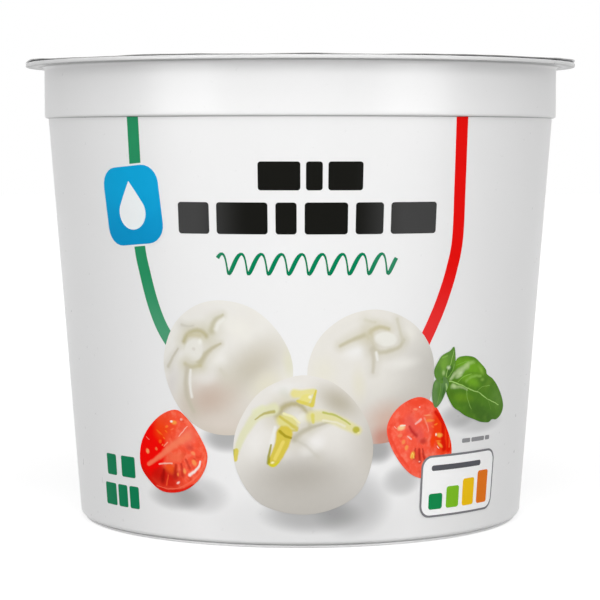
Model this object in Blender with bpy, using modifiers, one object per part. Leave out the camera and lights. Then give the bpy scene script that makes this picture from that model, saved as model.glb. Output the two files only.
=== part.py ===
"""A round plastic tub for fresh cheese, shut with a peel-off foil lid.

Two pieces: the moulded tub, solid because it is sealed, and the thin lid on its flange.
Metres, +Z up. The origin is the centre of the foot, on the surface that the tub stands on.
The front is at -Y, and the lid's pull tab hangs at the back, at +Y.
"""

import math

import bmesh
import bpy

# Driving dimensions of the tub.
FLANGE_RADIUS = 0.0473
FLANGE_UNDERSIDE = 0.0774
FLANGE_THICKNESS = 0.0005
FLANGE_EDGE_ROUND = 0.0002
COLLAR_RADIUS = 0.0442
COLLAR_BOTTOM = 0.0689
COLLAR_TOP_FILLET = 0.0004
COLLAR_BOTTOM_ROUND = 0.0003
WALL_TOP_RADIUS = 0.04355
WALL_BOTTOM_RADIUS = 0.0383
BASE_CORNER_ROUND = 0.0012
FOOT_RADIUS = 0.0376
FOOT_HEIGHT = 0.00045
FOOT_WIDTH = 0.0016
BASE_RECESS = 0.0010

# Driving dimensions of the lid.
LID_RADIUS = 0.0475
LID_THICKNESS = 0.0002
LID_GAP = 0.0003  # kept to the flange, because touching meshes overlap a little
LIP_WIDTH = 0.0016  # outside the seal, where the foil isn't held flat
LIP_WAVE = 0.00008
LIP_WAVES = 7
TAB_HALF_TURN = math.radians(11.25)
TAB_LENGTH = 0.0120
TAB_GAP = 0.0004  # between the tab and the flange's edge, and the tab's end and the collar
TAB_END_SHARE = 0.3  # of the tab's length, over which its end rounds off

SEGMENTS = 128
ARC_STEPS = 5
TAB_ROWS = 8


def clear_scene():
    for obj in list(bpy.data.objects):
        bpy.data.objects.remove(obj)


def new_collection(name):
    collection = bpy.data.collections.new(name)
    bpy.context.scene.collection.children.link(collection)
    return collection


def new_material(name, colour, roughness, metallic):
    material = bpy.data.materials.new(name)
    material.use_nodes = True
    shader = material.node_tree.nodes["Principled BSDF"]
    shader.inputs["Base Color"].default_value = (*colour, 1.0)
    shader.inputs["Roughness"].default_value = roughness
    shader.inputs["Metallic"].default_value = metallic
    return material


def new_object(name, mesh, material, collection):
    obj = bpy.data.objects.new(name, mesh)
    mesh.materials.append(material)
    collection.objects.link(obj)
    return obj


def arc(centre, radius, start_degrees, end_degrees):
    """Points of an arc in the profile's plane, as (distance from the axis, height)."""
    points = []
    for step in range(ARC_STEPS + 1):
        share = step / ARC_STEPS
        angle = math.radians(start_degrees + (end_degrees - start_degrees) * share)
        points.append(
            (centre[0] + radius * math.cos(angle), centre[1] + radius * math.sin(angle))
        )
    return points


def base_corner(taper_degrees):
    """The rounded corner from the tapered wall down to the foot's outer side."""
    centre_height = FOOT_HEIGHT + BASE_CORNER_ROUND
    wall_radius = WALL_BOTTOM_RADIUS + BASE_CORNER_ROUND * math.tan(
        math.radians(taper_degrees)
    )
    centre_radius = wall_radius - BASE_CORNER_ROUND / math.cos(
        math.radians(taper_degrees)
    )
    meets_foot = -math.degrees(
        math.acos((FOOT_RADIUS - centre_radius) / BASE_CORNER_ROUND)
    )
    return arc(
        (centre_radius, centre_height), BASE_CORNER_ROUND, -taper_degrees, meets_foot
    )


def tub_profile():
    """The tub's outline, from the axis at the top, down the outside and back to the axis."""
    flange_top = FLANGE_UNDERSIDE + FLANGE_THICKNESS
    edge = FLANGE_EDGE_ROUND
    fillet = COLLAR_TOP_FILLET
    lip = COLLAR_BOTTOM_ROUND
    taper_degrees = math.degrees(
        math.atan2(WALL_TOP_RADIUS - WALL_BOTTOM_RADIUS, COLLAR_BOTTOM - FOOT_HEIGHT)
    )
    foot_inner = FOOT_RADIUS - FOOT_WIDTH
    return [
        (0.0, flange_top),
        *arc((FLANGE_RADIUS - edge, flange_top - edge), edge, 90, 0),
        *arc((FLANGE_RADIUS - edge, FLANGE_UNDERSIDE + edge), edge, 0, -90),
        *arc((COLLAR_RADIUS + fillet, FLANGE_UNDERSIDE - fillet), fillet, 90, 180),
        *arc((COLLAR_RADIUS - lip, COLLAR_BOTTOM + lip), lip, 0, -90),
        (WALL_TOP_RADIUS, COLLAR_BOTTOM),
        *base_corner(taper_degrees),
        (FOOT_RADIUS, 0.0),
        (foot_inner, 0.0),
        (foot_inner - BASE_RECESS, BASE_RECESS),
        (0.0, BASE_RECESS),
    ]


def make_tub(material, collection):
    """A turned solid: the profile with a Screw modifier round the axis."""
    mesh = bpy.data.meshes.new("tub")
    points = [(radius, 0.0, height) for radius, height in tub_profile()]
    mesh.from_pydata(points, [(i, i + 1) for i in range(len(points) - 1)], [])
    tub = new_object("tub", mesh, material, collection)
    screw = tub.modifiers.new("Turn", "SCREW")
    screw.axis = "Z"
    screw.steps = screw.render_steps = SEGMENTS
    screw.use_merge_vertices = True
    screw.merge_threshold = 0.00001
    screw.use_smooth_shade = True
    return tub


def lid_height():
    """The height of the foil's middle, where it is flat."""
    flange_top = FLANGE_UNDERSIDE + FLANGE_THICKNESS
    return flange_top + LID_GAP + LID_THICKNESS / 2


def tab_row(step):
    """(distance from the axis, height, share of the width) of one row of the hanging tab."""
    share = step / TAB_ROWS
    drop = share * TAB_LENGTH
    past_flange = lid_height() - (FLANGE_UNDERSIDE - TAB_GAP)
    lean = max(0.0, drop - past_flange) / (TAB_LENGTH - past_flange)
    radius = TAB_GAP + LID_THICKNESS / 2
    radius += FLANGE_RADIUS + (COLLAR_RADIUS - FLANGE_RADIUS) * lean
    past = min(1.0, max(0.0, share - (1 - TAB_END_SHARE)) / TAB_END_SHARE)
    width = 0.6 + 0.4 * math.sqrt(1 - past**2)
    return radius, lid_height() - drop, width


def add_tab(shell, lip_edges):
    """Extends the lip's back edges into a tab that is folded down over the flange."""
    edges = lip_edges
    fold_radius = tab_row(0)[0]
    for vert in {v for e in edges for v in e.verts}:
        vert.co.xy *= fold_radius / vert.co.xy.length
    for step in range(1, TAB_ROWS + 1):
        radius, height, width = tab_row(step)
        made = bmesh.ops.extrude_edge_only(shell, edges=edges)["geom"]
        edges = [e for e in made if isinstance(e, bmesh.types.BMEdge)]
        ends = {v for v in made if isinstance(v, bmesh.types.BMVert)}
        edges = [e for e in edges if set(e.verts) <= ends]
        for vert in ends:
            turn = math.atan2(vert.co.x, vert.co.y)
            before = tab_row(step - 1)[2]
            turn *= width / before
            vert.co = (radius * math.sin(turn), radius * math.cos(turn), height)


def make_lid(material, collection):
    """The foil: an open disc with a wavy lip and a tab at the back, thickened by Solidify."""
    shell = bmesh.new()
    radii = [0.0, LID_RADIUS - 2 * LIP_WIDTH, LID_RADIUS - LIP_WIDTH, LID_RADIUS]
    spoke = [shell.verts.new((0.0, radius, lid_height())) for radius in radii]
    for inner, outer in zip(spoke, spoke[1:]):
        shell.edges.new((inner, outer))
    bmesh.ops.spin(
        shell,
        geom=shell.verts[:] + shell.edges[:],
        cent=(0.0, 0.0, 0.0),
        axis=(0.0, 0.0, 1.0),
        angle=math.tau,
        steps=SEGMENTS,
        use_merge=True,
    )
    bmesh.ops.remove_doubles(shell, verts=shell.verts[:], dist=0.00001)
    bmesh.ops.recalc_face_normals(shell, faces=shell.faces[:])
    lip = [v for v in shell.verts if v.co.xy.length > LID_RADIUS - LIP_WIDTH / 2]
    slack = math.radians(0.5)
    behind = {v for v in lip if abs(math.atan2(v.co.x, v.co.y)) < TAB_HALF_TURN + slack}
    back_edges = [e for e in shell.edges if e.is_boundary and set(e.verts) <= behind]
    for vert in lip:
        if vert not in behind:
            turn = math.atan2(vert.co.x, vert.co.y)
            vert.co.z += LIP_WAVE * math.sin(LIP_WAVES * turn)
    add_tab(shell, back_edges)
    bmesh.ops.recalc_face_normals(shell, faces=shell.faces[:])
    mesh = bpy.data.meshes.new("lid")
    shell.to_mesh(mesh)
    shell.free()
    lid = new_object("lid", mesh, material, collection)
    solidify = lid.modifiers.new("Foil", "SOLIDIFY")
    solidify.thickness = LID_THICKNESS
    solidify.offset = 0.0
    return lid


def main():
    clear_scene()
    pieces = new_collection("sealed_cheese_tub")
    white_plastic = new_material("white_plastic", (0.86, 0.86, 0.86), 0.35, 0.0)
    pale_foil = new_material("pale_foil", (0.80, 0.80, 0.81), 0.35, 0.4)
    make_tub(white_plastic, pieces)
    make_lid(pale_foil, pieces)


main()
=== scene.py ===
"""The looks of a sealed cheese tub: a white moulded tub, a foil lid and a printed front.

Shapes are modelled in millimetres and scaled to metres when a piece is finished. The print is laid
out on the unrolled wall, as (across, up): across runs to the right round the wall from the middle
of the front, measured at ART_RADIUS, and up is the height above the foot.
"""

import math

import bmesh
import bpy
from mathutils import Matrix, Vector


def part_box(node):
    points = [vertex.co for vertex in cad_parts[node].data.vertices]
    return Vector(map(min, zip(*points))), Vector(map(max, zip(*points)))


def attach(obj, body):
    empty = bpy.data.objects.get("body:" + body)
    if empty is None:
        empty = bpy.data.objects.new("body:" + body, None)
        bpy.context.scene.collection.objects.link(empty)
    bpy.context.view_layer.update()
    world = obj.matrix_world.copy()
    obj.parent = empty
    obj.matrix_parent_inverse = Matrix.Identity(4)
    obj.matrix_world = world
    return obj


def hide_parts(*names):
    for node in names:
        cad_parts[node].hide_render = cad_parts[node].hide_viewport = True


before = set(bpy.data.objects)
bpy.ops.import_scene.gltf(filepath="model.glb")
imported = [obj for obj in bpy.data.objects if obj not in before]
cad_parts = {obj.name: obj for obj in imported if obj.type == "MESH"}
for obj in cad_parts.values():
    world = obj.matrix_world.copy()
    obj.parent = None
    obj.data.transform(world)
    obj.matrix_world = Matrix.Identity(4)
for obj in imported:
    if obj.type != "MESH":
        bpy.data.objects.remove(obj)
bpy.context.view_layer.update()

MM = 0.001
lid_low, lid_high = (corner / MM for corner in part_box("lid"))
tub_low, tub_high = (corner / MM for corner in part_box("tub"))

# The tub, from the top down.
FLANGE_RADIUS = tub_high.x + 0.12
FLANGE_TOP = tub_high.z + 0.3
FLANGE_UNDERSIDE = 77.5
COLLAR_RADIUS = 44.2
COLLAR_BOTTOM = 68.8
WALL_TOP_RADIUS = 43.55
WALL_BOTTOM_RADIUS = 38.3
CORNER_ROUND = 0.8
GROOVE_RADIUS = 37.25
GROOVE_HEIGHT = 0.38
FOOT_RADIUS = 37.6
FOOT_INNER_RADIUS = 36.0
BASE_RECESS = 1.0
TURN_STEPS = 288

# The lid.
LIP_RADIUS = lid_high.x - 0.15
FOIL_THICKNESS = 0.1
SEAL_INNER_RADIUS = 44.0
SEAL_OUTER_RADIUS = 46.4
FOIL_DISH = 0.35  # how far the foil's middle hangs below its seal
TAB_HALF_TURN = math.radians(11.25)
TAB_LENGTH = 11.6
TAB_GAP = 0.35
# How far the lip lifts off the flange, as (degrees from the front, millimetres).
LIP_LIFTS = [
    (-180, 0.0), (-150, 0.1), (-120, -0.02), (-98, -0.12), (-84, -0.22), (-70, 0.26), (-56, 0.0),
    (-42, -0.08), (-31, 0.08), (-21, 0.06), (-9, -0.05), (2, 0.06), (12, -0.06), (25, 0.09),
    (38, 0.13), (52, 0.1), (66, 0.24), (78, 0.34), (92, 0.16), (120, -0.02), (150, 0.08),
]

# The print.
ART_RADIUS = 41.0
STRIP_WIDTH = 1.0  # of the strips that a flat shape is cut in, to bend round the wall
SKIN = 0.02
STRIPE_WIDTH = 2.25
PRINT_DOTS = 9.0  # the scale of the fine dots in its inks
INK_SHINE = 0.035


# ---------------------------------------------------------------- shader maths


def ink(red, green, blue):
    """A display colour, 0 to 255 a channel, as the linear colour that a shader takes."""
    shares = [channel / 255 for channel in (red, green, blue)]
    linear = [c / 12.92 if c < 0.04 else ((c + 0.055) / 1.055) ** 2.4 for c in shares]
    return (*linear, 1.0)


class Value:
    """A number that varies over a surface: a socket on which operators add Math nodes."""

    def __init__(self, paint, socket):
        self.paint = paint
        self.socket = socket

    def math(self, operation, *terms):
        return self.paint.node("ShaderNodeMath", {"operation": operation}, dict(enumerate(terms)))

    def __add__(self, other):
        return self.math("ADD", self, other)

    def __sub__(self, other):
        return self.math("SUBTRACT", self, other)

    def __rsub__(self, other):
        return self.math("SUBTRACT", other, self)

    def __mul__(self, other):
        return self.math("MULTIPLY", self, other)

    def __truediv__(self, other):
        return self.math("DIVIDE", self, other)

    def __abs__(self):
        return self.math("ABSOLUTE", self)

    __radd__ = __add__
    __rmul__ = __mul__

    def root(self):
        return self.math("SQRT", self)

    def wave(self):
        return self.math("SINE", self)

    def least(self, other):
        return self.math("MINIMUM", self, other)

    def most(self, other):
        return self.math("MAXIMUM", self, other)

    def turn_from(self, other):
        return self.math("ARCTAN2", self, other)

    def rise(self, start, end):
        """0 at start and 1 at end, with a smooth step between them."""
        span = {"Value": self, "From Min": start, "From Max": end}
        return self.paint.node("ShaderNodeMapRange", {"interpolation_type": "SMOOTHSTEP"}, span)


class Nodes:
    """The nodes of a material or a world: they are added by one method."""

    def __init__(self, owner):
        owner.use_nodes = True
        self.tree = owner.node_tree

    def node(self, kind, settings=None, sockets=None, out=0):
        """Adds a node, makes its settings, then feeds its sockets; returns one of its outputs."""
        made = self.tree.nodes.new(kind)
        for setting, value in (settings or {}).items():
            setattr(made, setting, value)
        for socket, value in (sockets or {}).items():
            self.feed(made.inputs[socket], value)
        return Value(self, made.outputs[out])

    def feed(self, socket, value):
        if isinstance(value, Value):
            self.tree.links.new(value.socket, socket)
        else:
            socket.default_value = value

    def mix(self, factor, first, second, blend="MIX"):
        settings = {"data_type": "RGBA", "blend_type": blend}
        return self.node("ShaderNodeMix", settings, {0: factor, 6: first, 7: second}, out=2)

    def vector(self, operation, *terms, out=0):
        return self.node("ShaderNodeVectorMath", {"operation": operation}, dict(enumerate(terms)), out)

    def noise(self, place, scale, detail=2.0, out=0):
        """Soft random clouds, as a number, or as a vector from its second output."""
        sockets = {"Vector": place, "Scale": scale, "Detail": detail}
        return self.node("ShaderNodeTexNoise", None, sockets, out)

    def split(self, place):
        """The three numbers of a vector."""
        parts = self.node("ShaderNodeSeparateXYZ", None, {0: place}).socket.node
        return [Value(self, output) for output in parts.outputs]

    def object_place(self):
        return self.node("ShaderNodeTexCoord", out=3)

    def print_place(self):
        """The print's own coordinates in millimetres: the vector, and its two numbers."""
        place = self.node("ShaderNodeUVMap", {"uv_map": "Print"})
        across, up, _ = self.split(place)
        return place, across, up


class Paint(Nodes):
    """A material being made."""

    def __init__(self, name):
        self.material = bpy.data.materials.new(name)
        super().__init__(self.material)
        self.shader = self.tree.nodes["Principled BSDF"]

    def set(self, **finish):
        """Sets or links the shader's sockets: base_color is its socket Base Color."""
        for socket, value in finish.items():
            name = socket.replace("_", " ").title().replace("Ior", "IOR")
            self.feed(self.shader.inputs[name], value)
        return self.material

    def bump(self, height, distance, strength=1.0):
        sockets = {"Height": height, "Distance": distance, "Strength": strength}
        self.feed(self.shader.inputs["Normal"], self.node("ShaderNodeBump", None, sockets))

    def print_over(self, colour, place, clouds, dotting):
        """Finishes the surface as satin print: a colour made uneven by clouds and by fine dots."""
        dots = self.noise(place, PRINT_DOTS)
        uneven = clouds * (dots * dotting + (1.0 - dotting / 2))
        self.bump(dots, 0.000015, 0.4)
        return self.set(
            base_color=self.mix(1.0, colour, uneven, "MULTIPLY"),
            roughness=dots * 0.12 + 0.3,
            specular_ior_level=INK_SHINE,
        )


# ---------------------------------------------------------------- modelling


def finish_piece(shape, name, materials, sharp=35):
    """Makes a piece of a shape in millimetres, shades it smooth and rides it on the body."""
    bmesh.ops.scale(shape, vec=(MM, MM, MM), verts=shape.verts[:])
    mesh = bpy.data.meshes.new(name)
    shape.to_mesh(mesh)
    shape.free()
    for material in materials:
        mesh.materials.append(material)
    mesh.shade_smooth()
    mesh.set_sharp_from_angle(angle=math.radians(sharp))
    piece = bpy.data.objects.new(name, mesh)
    bpy.context.scene.collection.objects.link(piece)
    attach(piece, "root")
    return piece


def arc(centre, radius, start, end, steps=6):
    """Points along an arc, from one angle to another in degrees."""
    turns = [math.radians(start + (end - start) * step / steps) for step in range(steps + 1)]
    return [(centre[0] + radius * math.cos(t), centre[1] + radius * math.sin(t)) for t in turns]


def smooth_loop(corners, steps=5):
    """Points along a closed smooth curve through a few corners."""
    points = []
    for i in range(len(corners)):
        a, b, c, d = (Vector(corners[(i + k) % len(corners)]) for k in (-1, 0, 1, 2))
        for step in range(steps):
            points.append(spline(a, b, c, d, step / steps))
    return points


def smooth_path(corners, steps=8):
    """Points along an open smooth curve through a few corners."""
    ends = [Vector(corners[0]) * 2 - Vector(corners[1]), Vector(corners[-1]) * 2 - Vector(corners[-2])]
    line = [ends[0], *map(Vector, corners), ends[1]]
    points = []
    for a, b, c, d in zip(line, line[1:], line[2:], line[3:]):
        points += [spline(a, b, c, d, step / steps) for step in range(steps)]
    return [*points, Vector(corners[-1])]


def spline(a, b, c, d, t):
    """The point at t between b and c on the smooth curve through four points."""
    return (b * 2 + (c - a) * t + (a * 2 - b * 5 + c * 4 - d) * t**2 + (b * 3 - a - c * 3 + d) * t**3) / 2


def turned(profile, steps=TURN_STEPS):
    """A profile of (radius, height) points, spun round the axis."""
    shape = bmesh.new()
    line = [shape.verts.new((radius, 0.0, height)) for radius, height in profile]
    for upper, lower in zip(line, line[1:]):
        shape.edges.new((upper, lower))
    bmesh.ops.spin(
        shape, geom=shape.verts[:] + shape.edges[:], cent=(0, 0, 0), axis=(0, 0, 1),
        angle=math.tau, steps=steps, use_merge=True,
    )
    bmesh.ops.remove_doubles(shape, verts=shape.verts[:], dist=0.001)
    bmesh.ops.recalc_face_normals(shape, faces=shape.faces[:])
    return shape


# ---------------------------------------------------------------- the tub


def wall_radius(height):
    """The outer radius of the tapered wall."""
    share = (height - GROOVE_HEIGHT) / (COLLAR_BOTTOM - GROOVE_HEIGHT)
    return WALL_BOTTOM_RADIUS + (WALL_TOP_RADIUS - WALL_BOTTOM_RADIUS) * share


WALL_TAPER = math.atan2(WALL_TOP_RADIUS - WALL_BOTTOM_RADIUS, COLLAR_BOTTOM - GROOVE_HEIGHT)


def tub_profile():
    """The tub's outline from the middle of its top, down the outside, to the middle of its base."""
    taper = math.degrees(WALL_TAPER)
    corner_height = GROOVE_HEIGHT + 0.15 + CORNER_ROUND
    corner_centre = (wall_radius(corner_height) - CORNER_ROUND / math.cos(WALL_TAPER), corner_height)
    edge, fillet, lip = 0.25, 0.5, 0.42
    return [
        (0.0, FLANGE_TOP - 1.5),
        (SEAL_INNER_RADIUS - 1.0, FLANGE_TOP - 1.5),
        (SEAL_INNER_RADIUS + 0.2, FLANGE_TOP),
        (FLANGE_RADIUS - 1.0, FLANGE_TOP),
        *arc((FLANGE_RADIUS - edge, FLANGE_TOP - edge), edge, 90, 0),
        *arc((FLANGE_RADIUS - edge, FLANGE_UNDERSIDE + edge), edge, 0, -90),
        (COLLAR_RADIUS + fillet + 0.8, FLANGE_UNDERSIDE + 0.05),
        *arc((COLLAR_RADIUS + fillet, FLANGE_UNDERSIDE - fillet), fillet, 90, 180),
        (COLLAR_RADIUS, FLANGE_UNDERSIDE - fillet - 0.4),
        (COLLAR_RADIUS, COLLAR_BOTTOM + lip + 0.4),
        *arc((COLLAR_RADIUS - lip, COLLAR_BOTTOM + lip), lip, 0, -90),
        *arc((WALL_TOP_RADIUS + 0.08, COLLAR_BOTTOM - 0.08), 0.08, 90, 180, 3),
        (wall_radius(COLLAR_BOTTOM - 0.6), COLLAR_BOTTOM - 0.6),
        (wall_radius(corner_height + 0.6), corner_height + 0.6),
        *arc(corner_centre, CORNER_ROUND, -taper, -68, 8),
        *arc((GROOVE_RADIUS + 0.12, GROOVE_HEIGHT), 0.12, 90, 270, 4),
        *arc((FOOT_RADIUS - 0.12, 0.3), 0.12, 90, 0, 3),
        *arc((FOOT_RADIUS - 0.15, 0.15), 0.15, 0, -90, 3),
        *arc((FOOT_INNER_RADIUS + 0.3, 0.3), 0.3, -90, -180, 4),
        (FOOT_INNER_RADIUS - 0.25, BASE_RECESS - 0.25),
        (FOOT_INNER_RADIUS - 0.6, BASE_RECESS),
        (24.0, BASE_RECESS + 0.08),
        (23.8, BASE_RECESS + 0.2),
        (23.0, BASE_RECESS + 0.2),
        (22.8, BASE_RECESS + 0.08),
        (4.2, BASE_RECESS),
        *arc((3.4, BASE_RECESS + 0.3), 0.3, -90, -180, 3),
        (3.1, BASE_RECESS + 0.6),
        (1.0, BASE_RECESS + 0.6),
        (0.8, BASE_RECESS + 0.35),
        (0.0, BASE_RECESS + 0.3),
    ]


# Soft shadows under the printed food: (across, up), (half width, half height), depth.
PRINTED_SHADOWS = [
    ((1.0, 3.8), (20.0, 7.0), 0.12),
    ((1.8, 5.4), (10.0, 3.4), 0.42),
    ((8.8, 7.2), (8.0, 6.4), 0.34),
    ((-12.4, 17.6), (5.0, 2.6), 0.50),
    ((-22.2, 7.6), (6.8, 2.6), 0.40),
    ((-17.6, 8.2), (6.4, 3.6), 0.28),
    ((13.0, 15.8), (3.6, 2.8), 0.55),
    ((17.6, 10.6), (4.2, 3.0), 0.34),
    ((28.6, 20.4), (5.0, 2.4), 0.36),
    ((34.0, 18.8), (8.0, 2.0), 0.26),
]


def white_plastic():
    """Satin white polypropylene, with the print's soft shadows, painted shade in its corners and the label's
    seam at the back.
    """
    paint = Paint("white_plastic")
    place = paint.object_place()
    x, y, z = paint.split(place)
    across = x.turn_from(0.0 - y) * ART_RADIUS
    up = z / MM
    light = paint.noise(place, 55.0) * 0.02 + 0.99
    for (centre, height), (half_width, half_height), depth in PRINTED_SHADOWS:
        right = (across - centre) / half_width
        above = (up - height) / half_height
        light = light * (1.0 - (right * right + above * above).rise(1.0, 0.0) * depth)
    out = (x * x + y * y).root() / MM
    # Painted shade: the base colour is darkened under the flange, under the collar's lip and in the foot's
    # groove.
    shade_under_flange = out.rise(COLLAR_RADIUS, COLLAR_RADIUS + 0.6)
    shade_under_flange = shade_under_flange * up.rise(FLANGE_UNDERSIDE + 0.1, FLANGE_UNDERSIDE)
    shade_under_collar = out.rise(COLLAR_RADIUS - 0.2, COLLAR_RADIUS - 0.3)
    shade_under_collar = shade_under_collar * up.rise(COLLAR_BOTTOM - 0.15, COLLAR_BOTTOM)
    shade_under_collar = shade_under_collar * up.rise(COLLAR_BOTTOM + 0.4, COLLAR_BOTTOM + 0.2)
    groove_shade = abs(up - GROOVE_HEIGHT).rise(0.16, 0.08) * out.rise(GROOVE_RADIUS + 0.5, GROOVE_RADIUS + 0.2)
    painted_gap_shade = shade_under_flange.most(shade_under_collar).most(groove_shade * 0.35)
    light = light * (1.0 - painted_gap_shade * 0.65)
    # Painted shade: the flange's lower outer edge is darkened too.
    edge = out.rise(FLANGE_RADIUS - 0.5, FLANGE_RADIUS - 0.15)
    edge = edge * up.rise(FLANGE_UNDERSIDE - 0.2, FLANGE_UNDERSIDE)
    light = light * (1.0 - edge * 0.14)
    seam = abs(abs(across) - math.pi * ART_RADIUS + 0.9).rise(0.2, 0.05)
    below_collar = up.rise(COLLAR_BOTTOM, COLLAR_BOTTOM - 0.3) * up.rise(1.8, 2.2)
    seam = seam * below_collar
    light = light * (1.0 - seam * 0.06)
    grain = paint.noise(place, 900.0, 4.0)
    ripple = paint.noise(place, 90.0, 1.0)
    paint.bump(grain * 0.25 + ripple - seam * 1.5, 0.00006, 0.5)
    white = paint.mix(1.0, (0.858, 0.858, 0.858, 1.0), light, "MULTIPLY")
    return paint.set(base_color=white, roughness=grain * 0.12 + 0.24, specular_ior_level=0.4)


def make_tub():
    """The moulded tub, spun from its outline."""
    tub = finish_piece(turned(tub_profile()), "tub_shell", [white_plastic()])
    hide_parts("tub")
    return tub


# ---------------------------------------------------------------- the lid


def lip_lift(degrees):
    """The lip's height above the flange, read smoothly from LIP_LIFTS."""
    stops = [*LIP_LIFTS, (180, LIP_LIFTS[0][1])]
    for (start, low), (end, high) in zip(stops, stops[1:]):
        if start <= degrees <= end:
            share = (degrees - start) / (end - start)
            return low + (high - low) * share * share * (3 - 2 * share)
    return 0.0


def foil_height(radius, turn):
    """The foil's height over its place on the flange: dished, sealed flat, then a wavy lip."""
    if radius < SEAL_INNER_RADIUS:
        share = radius / SEAL_INNER_RADIUS
        sag = FOIL_DISH * (1 - share**6)
        crease = 0.05 * share**4 * (math.sin(turn * 9 + 1.3) + 0.6 * math.sin(turn * 17))
        return crease - sag
    if radius < SEAL_OUTER_RADIUS:
        return 0.0
    loose = (radius - SEAL_OUTER_RADIUS) / (LIP_RADIUS - SEAL_OUTER_RADIUS)
    ripple = 0.02 * math.sin(turn * 41) * math.sin(turn * 7 + 0.5)
    return loose * (lip_lift(math.degrees(turn)) + ripple)


def add_tab(foil, lip_edges, level):
    """Draws the lip's back edges out into a tab that folds down over the flange."""
    fold = [(FLANGE_RADIUS + TAB_GAP * math.sin(a), level - TAB_GAP * (1 - math.cos(a)))
            for a in (math.radians(30), math.radians(60), math.radians(90))]
    below_flange = FLANGE_UNDERSIDE - 0.4
    fold.append((FLANGE_RADIUS + TAB_GAP, below_flange))
    for step in range(1, 9):
        share = step / 8
        lean = math.sin(share * math.pi / 2)
        radius = FLANGE_RADIUS + (COLLAR_RADIUS - FLANGE_RADIUS) * lean + TAB_GAP
        fold.append((radius, below_flange - share * (TAB_LENGTH - level + below_flange)))
    edges, before = lip_edges, 1.0
    for radius, height in fold:
        made = bmesh.ops.extrude_edge_only(foil, edges=edges)["geom"]
        ends = {part for part in made if isinstance(part, bmesh.types.BMVert)}
        edges = [e for e in made if isinstance(e, bmesh.types.BMEdge) and set(e.verts) <= ends]
        drop = (level - height) / TAB_LENGTH
        width = math.sqrt(1 - max(0.0, (drop - 0.72) / 0.28) ** 2 * 0.75)
        for vert in ends:
            turn = math.atan2(vert.co.x, vert.co.y) * width / before
            vert.co = (radius * math.sin(turn), radius * math.cos(turn), height)
        before = width


def lid_foil():
    """Aluminium foil: a knurled seal, a fine pressed grid, soft wrinkles and a smear of shine."""
    paint = Paint("lid_foil")
    place = paint.object_place()
    x, y, z = paint.split(place)
    radius = (x * x + y * y).root() / MM
    turn = x.turn_from(y)
    on_top = z.rise((FLANGE_TOP - 1.2) * MM, (FLANGE_TOP - 0.8) * MM)
    sealed = radius.rise(SEAL_INNER_RADIUS - 0.2, SEAL_INNER_RADIUS + 0.1)
    sealed = sealed * radius.rise(SEAL_OUTER_RADIUS + 0.2, SEAL_OUTER_RADIUS - 0.1)
    knurl = (turn * 240.0 + radius * 5.0).wave() * (turn * 240.0 - radius * 5.0).wave()
    pressed = (x * 2600.0).wave() * (y * 2600.0).wave() * (1.0 - sealed)
    wrinkle = paint.noise(place, 70.0, 3.0)
    height = knurl * sealed * 0.8 + pressed * 0.28 + wrinkle * 1.6
    paint.bump(height * on_top + wrinkle * (1.0 - on_top), 0.00008, 0.6)
    cloud = paint.noise(place, 160.0, 4.0)
    silver = paint.mix(cloud.rise(0.3, 0.7), ink(176, 177, 179), ink(188, 188, 189))
    silver = paint.mix(sealed * on_top * 0.35, silver, ink(158, 159, 162))
    return paint.set(base_color=silver, metallic=0.85 + sealed * 0.1, roughness=0.3 + cloud * 0.14)


def bare_edge():
    """The foil's cut edge, which shows its dark metal."""
    paint = Paint("foil_edge")
    speck = paint.noise(paint.object_place(), 1400.0, 3.0)
    grey = paint.mix(speck, ink(124, 123, 121), ink(172, 171, 168))
    return paint.set(base_color=grey, metallic=0.6, roughness=0.35 + speck * 0.2)


def make_lid():
    """The foil disc, spun from its middle out, with its lip shaped and its tab drawn out."""
    level = FLANGE_TOP + 0.02 + FOIL_THICKNESS / 2
    radii = [0.0, 8.0, 16.0, 24.0, 31.0, 36.0, 39.5, 42.0, 43.3, SEAL_INNER_RADIUS]
    radii += [SEAL_OUTER_RADIUS - 1.2, SEAL_OUTER_RADIUS]
    radii += [SEAL_OUTER_RADIUS + (LIP_RADIUS - SEAL_OUTER_RADIUS) * k / 4 for k in (1, 2, 3, 4)]
    foil = turned([(radius, level) for radius in radii])
    lip = {v for v in foil.verts if v.co.xy.length > LIP_RADIUS - 0.05}
    for vert in foil.verts:
        behind = 0.0 if abs(math.atan2(vert.co.x, vert.co.y)) < TAB_HALF_TURN * 1.2 else 1.0
        turn = math.atan2(vert.co.x, -vert.co.y)
        radius = vert.co.xy.length
        held = behind if radius > SEAL_OUTER_RADIUS else 1.0
        vert.co.z += foil_height(radius, turn) * held
        if vert in lip:
            vert.co.xy *= 1 + (0.0012 * math.sin(turn * 5 + 2) + 0.0006 * math.sin(turn * 23)) * held
    back = {v for v in lip if abs(math.atan2(v.co.x, v.co.y)) < TAB_HALF_TURN + 0.001}
    back_edges = [e for e in foil.edges if e.is_boundary and set(e.verts) <= back]
    add_tab(foil, back_edges, level)
    bmesh.ops.recalc_face_normals(foil, faces=foil.faces[:])
    lid = finish_piece(foil, "lid_foil", [lid_foil(), bare_edge()], sharp=60)
    solidify = lid.modifiers.new("Foil", "SOLIDIFY")
    solidify.thickness = FOIL_THICKNESS * MM
    solidify.offset = 0.0
    solidify.material_offset_rim = 1
    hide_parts("lid")
    return lid


# ---------------------------------------------------------------- laying the print on the wall


def on_wall(across, up, lift):
    """The point of the wall at a place of the print, lifted off the surface."""
    turn = across / ART_RADIUS
    radius = wall_radius(up) + lift * math.cos(WALL_TAPER)
    return Vector((radius * math.sin(turn), -radius * math.cos(turn), up - lift * math.sin(WALL_TAPER)))


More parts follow.
